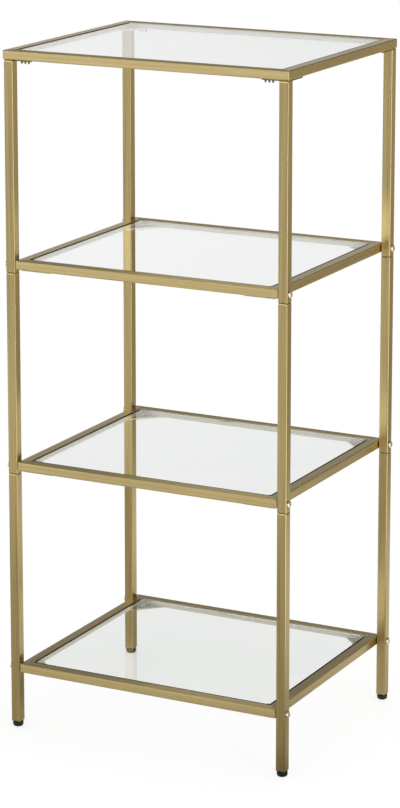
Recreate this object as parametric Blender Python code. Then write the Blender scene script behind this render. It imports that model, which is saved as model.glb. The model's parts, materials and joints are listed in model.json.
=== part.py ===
"""Four-tier bathroom storage rack: posts in three sections, a welded tube frame at each level,
loose glass shelves on clear pads, and feet that screw in and out for levelling.

Metres, +Z up. The origin is on the floor under the middle of the rack, +X runs to the right along
the front and +Y runs to the back.
"""

import math

import bmesh
import bpy
from mathutils import Matrix

# Overall sizes
WIDTH = 0.400  # over the outer side faces of the posts
DEPTH = 0.325  # over the front and back faces of the posts
HEIGHT = 0.901  # floor to the top of the top frame
LOWER_SHELF_TOP = 0.0887  # floor to the top of each shelf frame
MIDDLE_SHELF_TOP = 0.3630
UPPER_SHELF_TOP = 0.6300

# Square tube
POST_SIDE = 0.013
RAIL_WIDTH = 0.013
RAIL_HEIGHT = 0.012
TUBE_WALL = 0.001
TUBE_RADIUS = 0.0015  # rounding of the tube's long edges

# Gaps and clearances
TOUCH = 0.0003  # between faces that rest on each other
SLIP = 0.0003  # around a piece that plugs into a tube
FRAME_GAP = 0.0005  # between the end of a shelf frame and a post
TOP_OVERHANG = 0.0008  # the top frame stands this far proud of the posts

# Post joints
SEAM_DROP = 0.0047  # from the underside of a shelf frame down to the seam in the post
END_ROUND = 0.0008  # length over which a section's end draws in, by half the wall
NECK_LENGTH = 0.025  # plugs into the section below
STUB_LENGTH = 0.020  # under the top frame, plugs into the post
PLUG_CORNER = 0.0008  # cut off the corners of the stubs and the foot inserts
TIP_CHAMFER = 0.0005  # eases the tip of a neck or a stud

# Bolts, and the threaded bosses in the rails that take them
BOLT_DIAMETER = 0.005
BOLT_CLEARANCE = 0.0003
BOLT_GRIP = 0.009  # length inside the rail
BOLT_HEAD_DIAMETER = 0.0095
BOLT_HEAD_HEIGHT = 0.0026
BOLT_RIM = 0.0007  # straight side of the head, under the dome
DOME_CROWN = 0.55  # radius of the flat round the socket, as a share of the head's
DOME_SHOULDER = 0.72  # height of the dome half way out to the rim, as a share of the dome's
BOLT_SOCKET = 0.0032  # across the flats of the hexagon
BOLT_SOCKET_DEPTH = 0.0015
BOSS_WALL = 0.0015
BOSS_LENGTH = 0.010

# Gusset plates under the frames' corners
GUSSET_THICKNESS = 0.002
GUSSET_SETBACK = 0.006  # from the frame's outer faces
TOP_GUSSET_SIDE = 0.002  # and from the outer side faces of the top frame
TOP_GUSSET_REACH = 0.020  # along the sides of the opening, from its corner
SHELF_GUSSET_REACH = 0.029
GUSSET_POST_GAP = 0.0006
WELD_LAP = 0.0003  # a welded plate's bite into the tube above it
TOOTH_COUNT = 3  # small teeth under the top gussets, along the front and back rails
TOOTH_PITCH = 0.0051
TOOTH_WIDTH = 0.0032
TOOTH_TIP = 0.0010
TOOTH_DEPTH = 0.0016
TOOTH_HEIGHT = 0.0030
TOOTH_END = 0.0054  # from the gusset's outer corner to the last tooth
TOOTH_INSET = 0.0003  # from the gusset's edge

# Glass shelves
GLASS_THICKNESS = 0.005
GLASS_DROP = 0.0007  # below the top of the rails
GLASS_GAP = 0.0027  # to the rails all round
GLASS_CORNER = 0.004
GLASS_ARRIS = 0.0006  # ground edge

# Clear pads between the gussets and the glass
PAD_INSET = 0.0062  # from the sides of the opening to the pad's middle
PAD_DIAMETER = 0.009
PAD_WAIST = 0.0066
PAD_STEM = 0.0036
PAD_HOLE_CLEARANCE = 0.0003
PAD_KNOB = 0.0056  # swelling under the plate that keeps the pad in its hole
PAD_KNOB_HEIGHT = 0.0022

# Feet
GLIDE_DIAMETER = 0.014
GLIDE_HEIGHT = 0.007
GLIDE_EDGE = 0.0012
STUD_DIAMETER = 0.006
STUD_LENGTH = 0.030
STUD_SEAT = 0.004  # depth of the stud's socket in the glide
THREAD_CLEARANCE = 0.0003
INSERT_LENGTH = 0.020

# Mesh fineness
CORNER_STEPS = 2
EDGE_SEGMENTS = 2
ROUND_PROFILE = 0.5  # a bevel's bulge that makes it an arc
ROUND_SIDES = 12
PAD_SIDES = 10
GLIDE_SIDES = 16
SMOOTH_ANGLE = math.radians(50)
OVERSHOOT = 0.002  # a cutter's reach past the face it opens

CORNERS = {
    "front_left": (-1, -1),
    "front_right": (1, -1),
    "back_left": (-1, 1),
    "back_right": (1, 1),
}
SHELF_TOPS = {"lower": LOWER_SHELF_TOP, "middle": MIDDLE_SHELF_TOP, "upper": UPPER_SHELF_TOP}
FRAME_TOPS = {**SHELF_TOPS, "top": HEIGHT}
POST_X = (WIDTH - POST_SIDE) / 2
POST_Y = (DEPTH - POST_SIDE) / 2
POST_BOTTOM = GLIDE_HEIGHT + TOUCH
POST_BORE = POST_SIDE - 2 * TUBE_WALL
PLUG_SIDE = POST_BORE - 2 * SLIP
BOLT_HOLE_RADIUS = BOLT_DIAMETER / 2 + BOLT_CLEARANCE
PAD_HOLE_RADIUS = PAD_STEM / 2 + PAD_HOLE_CLEARANCE


def clear_scene():
    for item in list(bpy.data.objects):
        bpy.data.objects.remove(item, do_unlink=True)


def make_material(name, color, roughness, metallic=0.0, transmission=0.0):
    material = bpy.data.materials.new(name)
    material.use_nodes = True
    shader = material.node_tree.nodes["Principled BSDF"]
    shader.inputs["Base Color"].default_value = (*color, 1.0)
    shader.inputs["Roughness"].default_value = roughness
    shader.inputs["Metallic"].default_value = metallic
    shader.inputs["Transmission Weight"].default_value = transmission
    return material


def make_materials():
    return {
        "satin_gold": make_material("satin_gold", (0.50, 0.39, 0.18), 0.35, metallic=1.0),
        "bright_gold": make_material("bright_gold", (0.80, 0.66, 0.38), 0.12, metallic=1.0),
        "clear_glass": make_material("clear_glass", (0.92, 0.95, 0.94), 0.02, transmission=1.0),
        "clear_silicone": make_material("clear_silicone", (0.85, 0.87, 0.86), 0.2, transmission=0.9),
        "black_plastic": make_material("black_plastic", (0.012, 0.012, 0.012), 0.45),
        "zinc_steel": make_material("zinc_steel", (0.60, 0.61, 0.62), 0.3, metallic=1.0),
    }


def circle(radius, z, sides=ROUND_SIDES):
    turn = 2 * math.pi / sides
    return [(radius * math.cos(turn * i), radius * math.sin(turn * i), z) for i in range(sides)]


def hexagon(across_flats, z, sides=ROUND_SIDES):
    """A hexagon drawn with as many points as a circle, so that the two can be bridged."""
    points = []
    for i in range(sides):
        angle = 2 * math.pi * i / sides
        from_flat = angle % (math.pi / 3) - math.pi / 6
        radius = across_flats / 2 / math.cos(from_flat)
        points.append((radius * math.cos(angle), radius * math.sin(angle), z))
    return points


def rounded_rectangle(half_x, half_y, radius, z, steps=CORNER_STEPS):
    points = []
    for corner, (sx, sy) in enumerate(((1, 1), (-1, 1), (-1, -1), (1, -1))):
        for step in range(steps + 1):
            angle = (corner + step / steps) * math.pi / 2
            x = sx * (half_x - radius) + radius * math.cos(angle)
            y = sy * (half_y - radius) + radius * math.sin(angle)
            points.append((x, y, z))
    return points


def square(side, radius, z):
    return rounded_rectangle(side / 2, side / 2, radius, z)


def plug_square(side, z):
    """A square with its corners cut off flat."""
    return rounded_rectangle(side / 2, side / 2, PLUG_CORNER, z, steps=1)


def rectangle(half_x, half_y, z):
    return [(half_x, half_y, z), (-half_x, half_y, z), (-half_x, -half_y, z), (half_x, -half_y, z)]


def skin(rings, closed=False):
    """Bridges rings of points in turn. A closed stack runs back to its first ring, as a tube does;
    an open one gets a cap at each end."""
    shape = bmesh.new()
    loops = [[shape.verts.new(point) for point in ring] for ring in rings]
    pairs = list(zip(loops, loops[1:]))
    if closed:
        pairs.append((loops[-1], loops[0]))
    else:
        shape.faces.new(loops[0])
        shape.faces.new(loops[-1])
    for first, second in pairs:
        count = len(first)
        for i in range(count):
            after = (i + 1) % count
            shape.faces.new((first[i], first[after], second[after], second[i]))
    bmesh.ops.recalc_face_normals(shape, faces=shape.faces)
    return shape


def joined(shapes):
    """Several separate shapes as one, for use as a cutter or an addition."""
    whole = bmesh.new()
    for shape in shapes:
        mesh = bpy.data.meshes.new("shape")
        shape.to_mesh(mesh)
        shape.free()
        whole.from_mesh(mesh)
        bpy.data.meshes.remove(mesh)
    return whole


def add_object(name, shape, material=None, location=(0, 0, 0), rotation=(0, 0, 0)):
    mesh = bpy.data.meshes.new(name)
    shape.to_mesh(mesh)
    shape.free()
    item = bpy.data.objects.new(name, mesh)
    item.location = location
    item.rotation_euler = rotation
    bpy.context.scene.collection.objects.link(item)
    if material:
        mesh.materials.append(material)
    mesh.shade_smooth()
    mesh.set_sharp_from_angle(angle=SMOOTH_ANGLE)
    return item


def boolean(item, operation, shape):
    """Joins a shape to an object, or cuts it away, in the object's own coordinates."""
    tool = add_object("tool", shape)
    tool.matrix_world = item.matrix_basis
    modifier = item.modifiers.new("boolean", "BOOLEAN")
    modifier.operation = operation
    modifier.solver = "EXACT"
    modifier.object = tool
    bpy.context.view_layer.update()
    view = bpy.context.evaluated_depsgraph_get()
    result = bpy.data.meshes.new_from_object(item.evaluated_get(view))
    item.modifiers.clear()
    spent = item.data
    item.data = result
    result.name = item.name
    bpy.data.meshes.remove(spent)
    bpy.data.objects.remove(tool, do_unlink=True)
    result.shade_smooth()
    result.set_sharp_from_angle(angle=SMOOTH_ANGLE)


def rod_along_x(radius, start, end, y, z):
    shape = skin([circle(radius, start), circle(radius, end)])
    bmesh.ops.transform(shape, matrix=Matrix.Rotation(math.pi / 2, 4, "Y"), verts=shape.verts)
    bmesh.ops.translate(shape, vec=(0, y, z), verts=shape.verts)
    return shape


def frame_half_sizes(level):
    """Half the outer width and depth of a level's frame."""
    if level == "top":
        return WIDTH / 2 + TOP_OVERHANG, DEPTH / 2 + TOP_OVERHANG
    return WIDTH / 2 - POST_SIDE - FRAME_GAP, DEPTH / 2


def opening_half_sizes(level):
    half_x, half_y = frame_half_sizes(level)
    return half_x - RAIL_WIDTH, half_y - RAIL_WIDTH


def underside(level):
    return FRAME_TOPS[level] - RAIL_HEIGHT


def bolt_height(level):
    return underside(level) + RAIL_HEIGHT / 2


def pad_places(level):
    half_x, half_y = opening_half_sizes(level)
    x = half_x - PAD_INSET
    y = half_y - PAD_INSET
    return {corner: (sx * x, sy * y) for corner, (sx, sy) in CORNERS.items()}


# Frames, built about their own middle with the underside at z = 0


def rail_ring(half_x, half_y):
    open_x = half_x - RAIL_WIDTH
    open_y = half_y - RAIL_WIDTH
    outer_low = rectangle(half_x, half_y, 0)
    outer_high = rectangle(half_x, half_y, RAIL_HEIGHT)
    inner_high = rectangle(open_x, open_y, RAIL_HEIGHT)
    inner_low = rectangle(open_x, open_y, 0)
    shape = skin([outer_low, outer_high, inner_high, inner_low], closed=True)
    long_edges = [edge for edge in shape.edges if edge.calc_face_angle_signed() > SMOOTH_ANGLE]
    bmesh.ops.bevel(
        shape,
        geom=long_edges,
        offset=TUBE_RADIUS,
        segments=EDGE_SEGMENTS,
        profile=ROUND_PROFILE,
        affect="EDGES",
        clamp_overlap=False,
    )
    return shape


def rail_bore(half_x, half_y):
    low = TUBE_WALL
    high = RAIL_HEIGHT - TUBE_WALL
    far_x = half_x - TUBE_WALL
    far_y = half_y - TUBE_WALL
    near_x = half_x - RAIL_WIDTH + TUBE_WALL
    near_y = half_y - RAIL_WIDTH + TUBE_WALL
    rings = [
        rectangle(far_x, far_y, low),
        rectangle(far_x, far_y, high),
        rectangle(near_x, near_y, high),
        rectangle(near_x, near_y, low),
    ]
    return skin(rings, closed=True)


def gusset_outline(reach, notch):
    """Seen from below the corner: distances in from the frame's two outer faces. A notch keeps the
    plate clear of a post that stands under the same corner."""
    near = GUSSET_SETBACK
    whole = 2 * RAIL_WIDTH + reach
    far = whole - near
    if notch:
        side = TOP_GUSSET_SIDE
        return [(notch, near), (far, near), (side, whole - side), (side, notch), (notch, notch)]
    return [(near, near), (far, near), (near, far)]


def corner_prism(outline, corner, half_x, half_y, low, high):
    sx, sy = CORNERS[corner]
    flat = [(sx * (half_x - u), sy * (half_y - v)) for u, v in outline]
    return skin([[(x, y, low) for x, y in flat], [(x, y, high) for x, y in flat]])


def gusset_plates(level, half_x, half_y):
    reach = SHELF_GUSSET_REACH
    notch = 0
    if level == "top":
        reach = TOP_GUSSET_REACH
        notch = TOP_OVERHANG + POST_SIDE + GUSSET_POST_GAP
    outline = gusset_outline(reach, notch)
    plates = []
    for corner in CORNERS:
        plates.append(corner_prism(outline, corner, half_x, half_y, -GUSSET_THICKNESS, WELD_LAP))
    return plates


def gusset_teeth(half_x, half_y):
    last = 2 * RAIL_WIDTH + TOP_GUSSET_REACH - GUSSET_SETBACK - TOOTH_END
    root = -GUSSET_THICKNESS + WELD_LAP
    tip = -GUSSET_THICKNESS - TOOTH_HEIGHT
    teeth = []
    for sx, sy in CORNERS.values():
        y = sy * (half_y - GUSSET_SETBACK - TOOTH_INSET - TOOTH_DEPTH / 2)
        for i in range(TOOTH_COUNT):
            x = sx * (half_x - last + i * TOOTH_PITCH)
            shape = skin(
                [
                    rectangle(TOOTH_WIDTH / 2, TOOTH_DEPTH / 2, root),
                    rectangle(TOOTH_TIP / 2, TOOTH_DEPTH / 2, tip),
                ]
            )
            bmesh.ops.translate(shape, vec=(x, y, 0), verts=shape.verts)
            teeth.append(shape)
    return teeth


def at_posts(make_shape):
    shapes = []
    for sx, sy in CORNERS.values():
        shape = make_shape()
        bmesh.ops.translate(shape, vec=(sx * POST_X, sy * POST_Y, 0), verts=shape.verts)
        shapes.append(shape)
    return shapes


def stub():
    return skin(
        [
            plug_square(PLUG_SIDE - 2 * TIP_CHAMFER, -STUB_LENGTH),
            plug_square(PLUG_SIDE, -STUB_LENGTH + TIP_CHAMFER),
            plug_square(PLUG_SIDE, TUBE_WALL / 2),
        ]
    )


def stub_bore():
    side = PLUG_SIDE - 2 * TUBE_WALL
    return skin(
        [
            plug_square(side, -STUB_LENGTH - OVERSHOOT),
            plug_square(side, TUBE_WALL + OVERSHOOT),
        ]
    )


def bolt_rods(radius, inner, outer):
    """A rod along X in each end of the front and back rails."""
    rods = []
    for sx, sy in CORNERS.values():
        rods.append(rod_along_x(radius, sx * inner, sx * outer, sy * POST_Y, RAIL_HEIGHT / 2))
    return joined(rods)


def bolt_bosses(half_x):
    inner = half_x - TUBE_WALL - BOSS_LENGTH
    return bolt_rods(BOLT_HOLE_RADIUS + BOSS_WALL, inner, half_x - TUBE_WALL / 2)


def bolt_bores(half_x):
    inner = half_x - TUBE_WALL - BOSS_LENGTH - OVERSHOOT
    return bolt_rods(BOLT_HOLE_RADIUS, inner, half_x + OVERSHOOT)


def pad_holes(level):
    holes = []
    for x, y in pad_places(level).values():
        low = circle(PAD_HOLE_RADIUS, -GUSSET_THICKNESS - OVERSHOOT)
        high = circle(PAD_HOLE_RADIUS, WELD_LAP + OVERSHOOT)
        shape = skin([low, high])
        bmesh.ops.translate(shape, vec=(x, y, 0), verts=shape.verts)
        holes.append(shape)
    return joined(holes)


def make_frame(level, material):
    half_x, half_y = frame_half_sizes(level)
    name = "top_frame" if level == "top" else f"{level}_shelf_frame"
    frame = add_object(name, rail_ring(half_x, half_y), material, (0, 0, underside(level)))
    boolean(frame, "DIFFERENCE", rail_bore(half_x, half_y))
    boolean(frame, "UNION", joined(gusset_plates(level, half_x, half_y)))
    if level == "top":
        boolean(frame, "UNION", joined(gusset_teeth(half_x, half_y)))
        boolean(frame, "UNION", joined(at_posts(stub)))
        boolean(frame, "DIFFERENCE", joined(at_posts(stub_bore)))
    else:
        boolean(frame, "UNION", bolt_bosses(half_x))
        boolean(frame, "DIFFERENCE", bolt_bores(half_x))
    boolean(frame, "DIFFERENCE", pad_holes(level))


# Posts: base, mid and top sections


def section_ends():
    """Lowest and highest point of each section's full-width length."""
    first_seam = underside("middle") - SEAM_DROP
    second_seam = underside("upper") - SEAM_DROP
    return {
        "base": (POST_BOTTOM, first_seam),
        "mid": (first_seam + TOUCH, second_seam),
        "top": (second_seam + TOUCH, underside("top") - TOUCH),
    }


def post_section(length, necked):
    """A tube from z = 0 up, with a narrower neck below where it plugs into another section."""
    inner_radius = TUBE_RADIUS / 2
    neck_bore = PLUG_SIDE - 2 * TUBE_WALL
    end_side = POST_SIDE - TUBE_WALL
    outside = [
        square(end_side, TUBE_RADIUS, 0),
        square(POST_SIDE, TUBE_RADIUS, END_ROUND),
        square(POST_SIDE, TUBE_RADIUS, length - END_ROUND),
        square(end_side, TUBE_RADIUS, length),
        square(POST_BORE, inner_radius, length),
    ]
    if not necked:
        return skin([*outside, square(POST_BORE, inner_radius, 0)], closed=True)
    neck = [
        square(neck_bore, inner_radius, -NECK_LENGTH),
        square(PLUG_SIDE - 2 * TIP_CHAMFER, inner_radius, -NECK_LENGTH),
        square(PLUG_SIDE, inner_radius, -NECK_LENGTH + TIP_CHAMFER),
        square(PLUG_SIDE, inner_radius, 0),
    ]
    shoulder = [
        square(POST_BORE, inner_radius, 2 * TUBE_WALL),
        square(neck_bore, inner_radius, TUBE_WALL),
    ]
    return skin([*neck, *outside, *shoulder], closed=True)


def make_posts(material):
    bolted_level = {"base": "lower", "mid": "middle", "top": "upper"}
    for corner, (sx, sy) in CORNERS.items():
        for section, (low, high) in section_ends().items():
            shape = post_section(high - low, section != "base")
            place = (sx * POST_X, sy * POST_Y, low)
            post = add_object(f"post_{corner}_{section}", shape, material, place)
            hole = bolt_height(bolted_level[section]) - low
            boolean(post, "DIFFERENCE", rod_along_x(BOLT_HOLE_RADIUS, -POST_SIDE, POST_SIDE, 0, hole))


# Bolts, along +Z from the underside of the head, turned to point out of the posts' side faces


def bolt_shape():
    shank = BOLT_DIAMETER / 2
    head = BOLT_HEAD_DIAMETER / 2
    length = TOUCH + POST_SIDE + FRAME_GAP + BOLT_GRIP
    dome = BOLT_HEAD_HEIGHT - BOLT_RIM
    crown = head * DOME_CROWN
    shoulder = (head + crown) / 2
    return skin(
        [
            circle(shank - TIP_CHAMFER, -length),
            circle(shank, -length + TIP_CHAMFER),
            circle(shank, 0),
            circle(head, 0),
            circle(head, BOLT_RIM),
            circle(shoulder, BOLT_RIM + dome * DOME_SHOULDER),
            circle(crown, BOLT_HEAD_HEIGHT),
            hexagon(BOLT_SOCKET, BOLT_HEAD_HEIGHT),
            hexagon(BOLT_SOCKET, BOLT_HEAD_HEIGHT - BOLT_SOCKET_DEPTH),
        ]
    )


def make_bolts(material):
    for level in SHELF_TOPS:
        for corner, (sx, sy) in CORNERS.items():
            place = (sx * (WIDTH / 2 + TOUCH), sy * POST_Y, bolt_height(level))
            turn = (0, sx * math.pi / 2, 0)
            add_object(f"bolt_{level}_{corner}", bolt_shape(), material, place, turn)


# Glass shelves, each with its origin in the middle of its underside


def glass_underside(level):
    return FRAME_TOPS[level] - GLASS_DROP - GLASS_THICKNESS


def make_glass(level, material):
    open_x, open_y = opening_half_sizes(level)
    half_x = open_x - GLASS_GAP
    half_y = open_y - GLASS_GAP
    edge = GLASS_ARRIS
    shape = skin(
        [
            rounded_rectangle(half_x - edge, half_y - edge, GLASS_CORNER - edge, 0),
            rounded_rectangle(half_x, half_y, GLASS_CORNER, edge),
            rounded_rectangle(half_x, half_y, GLASS_CORNER, GLASS_THICKNESS - edge),
            rounded_rectangle(half_x - edge, half_y - edge, GLASS_CORNER - edge, GLASS_THICKNESS),
        ]
    )
    add_object(f"{level}_glass", shape, material, (0, 0, glass_underside(level)))


# Pads, each with its origin on the gusset's upper face


def pad_shape(height):
    below = -WELD_LAP - TOUCH - GUSSET_THICKNESS - TOUCH
    return skin(
        [
            circle(PAD_KNOB / 2 - TIP_CHAMFER, below - PAD_KNOB_HEIGHT, PAD_SIDES),
            circle(PAD_KNOB / 2, below, PAD_SIDES),
            circle(PAD_STEM / 2, below, PAD_SIDES),
            circle(PAD_STEM / 2, 0, PAD_SIDES),
            circle(PAD_DIAMETER / 2, 0, PAD_SIDES),
            circle(PAD_WAIST / 2, height / 2, PAD_SIDES),
            circle(PAD_DIAMETER / 2, height, PAD_SIDES),
        ]
    )


def make_pads(level, material):
    base = underside(level) + WELD_LAP + TOUCH
    height = glass_underside(level) - TOUCH - base
    for corner, (x, y) in pad_places(level).items():
        add_object(f"pad_{level}_{corner}", pad_shape(height), material, (x, y, base))


# Feet: a threaded insert in the post's end, a stud, and a round glide, all on the post's axis


def insert_shape():
    return skin([plug_square(PLUG_SIDE, 0), plug_square(PLUG_SIDE, INSERT_LENGTH)])


def insert_bore():
    radius = STUD_DIAMETER / 2 + THREAD_CLEARANCE
    return skin([circle(radius, -OVERSHOOT), circle(radius, INSERT_LENGTH + OVERSHOOT)])


def stud_shape():
    radius = STUD_DIAMETER / 2
    return skin(
        [
            circle(radius, 0),
            circle(radius, STUD_LENGTH - TIP_CHAMFER),
            circle(radius - TIP_CHAMFER, STUD_LENGTH),
        ]
    )


def glide_shape():
    radius = GLIDE_DIAMETER / 2
    socket = STUD_DIAMETER / 2 + THREAD_CLEARANCE
    slope = GLIDE_EDGE * (1 - math.cos(math.pi / 4))
    return skin(
        [
            circle(radius - GLIDE_EDGE, 0, GLIDE_SIDES),
            circle(radius - slope, slope, GLIDE_SIDES),
            circle(radius, GLIDE_EDGE, GLIDE_SIDES),
            circle(radius, GLIDE_HEIGHT - TIP_CHAMFER, GLIDE_SIDES),
            circle(radius - TIP_CHAMFER, GLIDE_HEIGHT, GLIDE_SIDES),
            circle(socket, GLIDE_HEIGHT, GLIDE_SIDES),
            circle(socket, GLIDE_HEIGHT - STUD_SEAT, GLIDE_SIDES),
        ]
    )


def make_feet(black, steel):
    stud_bottom = GLIDE_HEIGHT - STUD_SEAT + TOUCH
    for corner, (sx, sy) in CORNERS.items():
        x = sx * POST_X
        y = sy * POST_Y
        insert = add_object(f"foot_insert_{corner}", insert_shape(), black, (x, y, POST_BOTTOM))
        boolean(insert, "DIFFERENCE", insert_bore())
        add_object(f"foot_stud_{corner}", stud_shape(), steel, (x, y, stud_bottom))
        add_object(f"foot_glide_{corner}", glide_shape(), black, (x, y, 0))


def main():
    clear_scene()
    materials = make_materials()
    for level in FRAME_TOPS:
        make_frame(level, materials["satin_gold"])
        make_glass(level, materials["clear_glass"])
        make_pads(level, materials["clear_silicone"])
    make_posts(materials["satin_gold"])
    make_bolts(materials["bright_gold"])
    make_feet(materials["black_plastic"], materials["zinc_steel"])


main()
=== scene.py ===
"""Looks of the four-tier bathroom storage rack: brushed gold tube, clear glass shelves, bright
bolts and black feet, in a white studio.

Every piece is placed from the boxes of the CAD nodes that it stands for. Metres, +Z up, the rack's
front towards -Y.
"""

import json
import math

import bmesh
import bpy
from mathutils import Matrix, Vector

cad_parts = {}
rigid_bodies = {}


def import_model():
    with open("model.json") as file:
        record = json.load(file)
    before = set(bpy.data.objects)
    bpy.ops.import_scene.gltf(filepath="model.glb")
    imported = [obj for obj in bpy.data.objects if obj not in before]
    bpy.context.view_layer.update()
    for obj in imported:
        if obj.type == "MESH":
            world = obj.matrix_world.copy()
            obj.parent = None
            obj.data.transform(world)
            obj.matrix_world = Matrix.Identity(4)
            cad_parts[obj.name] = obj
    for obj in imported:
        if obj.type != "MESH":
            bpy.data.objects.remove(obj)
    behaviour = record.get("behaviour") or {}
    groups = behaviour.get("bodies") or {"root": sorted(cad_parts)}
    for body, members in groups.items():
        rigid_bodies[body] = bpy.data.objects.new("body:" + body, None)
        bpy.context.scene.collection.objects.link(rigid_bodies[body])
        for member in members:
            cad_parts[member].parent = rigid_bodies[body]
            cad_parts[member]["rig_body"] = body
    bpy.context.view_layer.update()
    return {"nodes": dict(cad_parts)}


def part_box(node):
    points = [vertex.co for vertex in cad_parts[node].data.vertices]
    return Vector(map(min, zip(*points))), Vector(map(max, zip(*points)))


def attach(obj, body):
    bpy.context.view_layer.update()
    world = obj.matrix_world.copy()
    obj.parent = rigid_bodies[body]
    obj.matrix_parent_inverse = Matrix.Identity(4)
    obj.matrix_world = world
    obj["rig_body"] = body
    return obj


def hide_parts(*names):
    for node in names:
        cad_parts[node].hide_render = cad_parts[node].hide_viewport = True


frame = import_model()

# Sizes that the boxes of the CAD nodes do not give, from the tube to the feet
TUBE_RADIUS = 0.0015
RAIL_INNER_RADIUS = 0.0005  # on the edges beside the glass
RAIL_LIP = 0.0057  # depth of the part of a rail's inner face that the pane's edge hides
RAIL_WIDTH = 0.013
RAIL_HEIGHT = 0.012
TOUCH = 0.0003  # between faces that rest on each other
TIP_CHAMFER = 0.0005
CUT_OVERSHOOT = 0.0005  # a cutter's reach past the face that it opens

POST_SIDE = 0.013
BORE_SIDE = 0.011
BORE_DEPTH = 0.0265  # takes the neck, the stub or the insert that plugs into a post's end
BORE_RADIUS = 0.00075
NECK_SIDE = 0.0104
NECK_LENGTH = 0.025
HEAD_INSET = 0.0012  # the top of a post section draws in this far
HEAD_HEIGHT = 0.0026
TAIL_INSET = 0.0003  # and its lower end
TAIL_HEIGHT = 0.0005
FOOT_END_INSET = 0.0012  # and the end over a foot
FOOT_END_HEIGHT = 0.0022
STUB_SIDE = 0.0104
STUB_LENGTH = 0.020
STUB_CORNER = 0.0008

GUSSET_THICKNESS = 0.002
GUSSET_SETBACK = 0.006  # from the frame's outer faces
GUSSET_SIDE = 0.002  # setback of the top gussets from the frame's outer side faces
GUSSET_NOTCH = 0.0144  # keeps the top gussets clear of the posts
GUSSET_REACH = {"top": 0.020, "lower": 0.029, "middle": 0.029, "upper": 0.029}
GUSSET_LAP = 0.0003  # a plate's bite into the tube above it
GUSSET_EDGE = 0.0003
TOOTH_COUNT = 3
TOOTH_PITCH = 0.0051
TOOTH_WIDTH = 0.0032
TOOTH_TIP = 0.0010
TOOTH_DEPTH = 0.0016
TOOTH_HEIGHT = 0.0030
TOOTH_END = 0.0054  # from a plate's end along the front rail to the first tooth
TOOTH_INSET = 0.0003

BOLT_HOLE = 0.0028
BOLT_GRIP = 0.0105  # depth of the bolt's hole in a rail
BOLT_SHANK = 0.0025
BOLT_HEAD = 0.00475
BOLT_HEAD_HEIGHT = 0.0026
BOLT_RIM = 0.0007
BOLT_CROWN = 0.5  # radius of the flat round the socket, as a share of the head's
BOLT_SOCKET = 0.0032
BOLT_SOCKET_DEPTH = 0.0015
BOLT_SOCKET_CHAMFER = 0.00025

GLASS_CORNER = 0.004
GLASS_ARRIS = 0.0006
PAD_HOLE = 0.0021
PAD_INSET = 0.0062
PAD_WAIST = 0.0033
PAD_WAIST_START = 0.35  # as a share of the pad's height over the plate
PAD_WAIST_END = 0.65
PAD_EDGE = 0.0003
PAD_STEM = 0.0018
PAD_KNOB = 0.0028

GLIDE_EDGE = 0.0034
GLIDE_RIM = 0.0008
STUD_SOCKET = 0.0033
STUD_SEAT = 0.004
THREAD_PITCH = 0.001
THREAD_DEPTH = 0.0005

# Mesh fineness
CORNER_STEPS = 5
STUB_CORNER_STEPS = 2
EDGE_SEGMENTS = 4
GUSSET_SEGMENTS = 2
DOME_STEPS = 6
ARRIS_STEPS = 3
GLIDE_EDGE_STEPS = 5
GLIDE_RIM_STEPS = 4
ROUND_PROFILE = 0.5  # a bevel's bulge that makes it an arc
BOLT_SIDES = 36
PAD_SIDES = 24
GLIDE_SIDES = 48
THREAD_SIDES = 20
THREAD_ROWS = 4  # to each turn of the thread
HOLE_SIDES = 24
SMOOTH_ANGLE = math.radians(40)

X_AXIS, Y_AXIS, Z_AXIS = range(3)
# the dark plate faces are painted shade
# the rails' pale inner faces are painted light
RAIL_X, RAIL_Y, RAIL_INNER_PAINTED_LIGHT, PLATE, PLATE_PAINTED_SHADE = range(5)  # a frame's materials, in their order
PANE_EDGE = 1  # a pane's second material

# A mix node's sockets for each kind of value: two inputs and the output
MIX_SOCKETS = {"FLOAT": (2, 3, 0), "VECTOR": (4, 5, 1), "RGBA": (6, 7, 2)}

# Noise, in features to the metre, and the relief that it makes
NOISE_DETAIL = 3.0
FINE_DETAIL = 2.0
NOISE_ROUGHNESS = 0.55
NOISE_MIDDLE = (0.3, 0.7)  # the part of its range that is used
RELIEF_DEPTH = 0.0001
BRUSH_LINES = {"along": 6, "across": 420}
HAIRLINES = {"along": 20, "across": 2400}
HAIRLINE_RELIEF = 0.12

# Brushed tube: the colours and the roughnesses that its brush lines vary between
TUBE_GOLD = ((0.49, 0.38, 0.165), (0.63, 0.50, 0.235))
# painted light: a brighter copy of the tube's gold, on the rails that run along X
FRONT_GOLD_PAINTED_LIGHT = ((0.54, 0.425, 0.195), (0.70, 0.565, 0.28))
TUBE_ROUGHNESS = (0.25, 0.35)
FRONT_ROUGHNESS = (0.36, 0.44)
BRUSHED = {
    "gold_rail_x_painted_light": (X_AXIS, FRONT_GOLD_PAINTED_LIGHT, FRONT_ROUGHNESS, 0.8),  # the last is the anisotropy
    "gold_rail_y": (Y_AXIS, TUBE_GOLD, TUBE_ROUGHNESS, 0.65),
    "gold_post": (Z_AXIS, TUBE_GOLD, TUBE_ROUGHNESS, 0.65),
}

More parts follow.
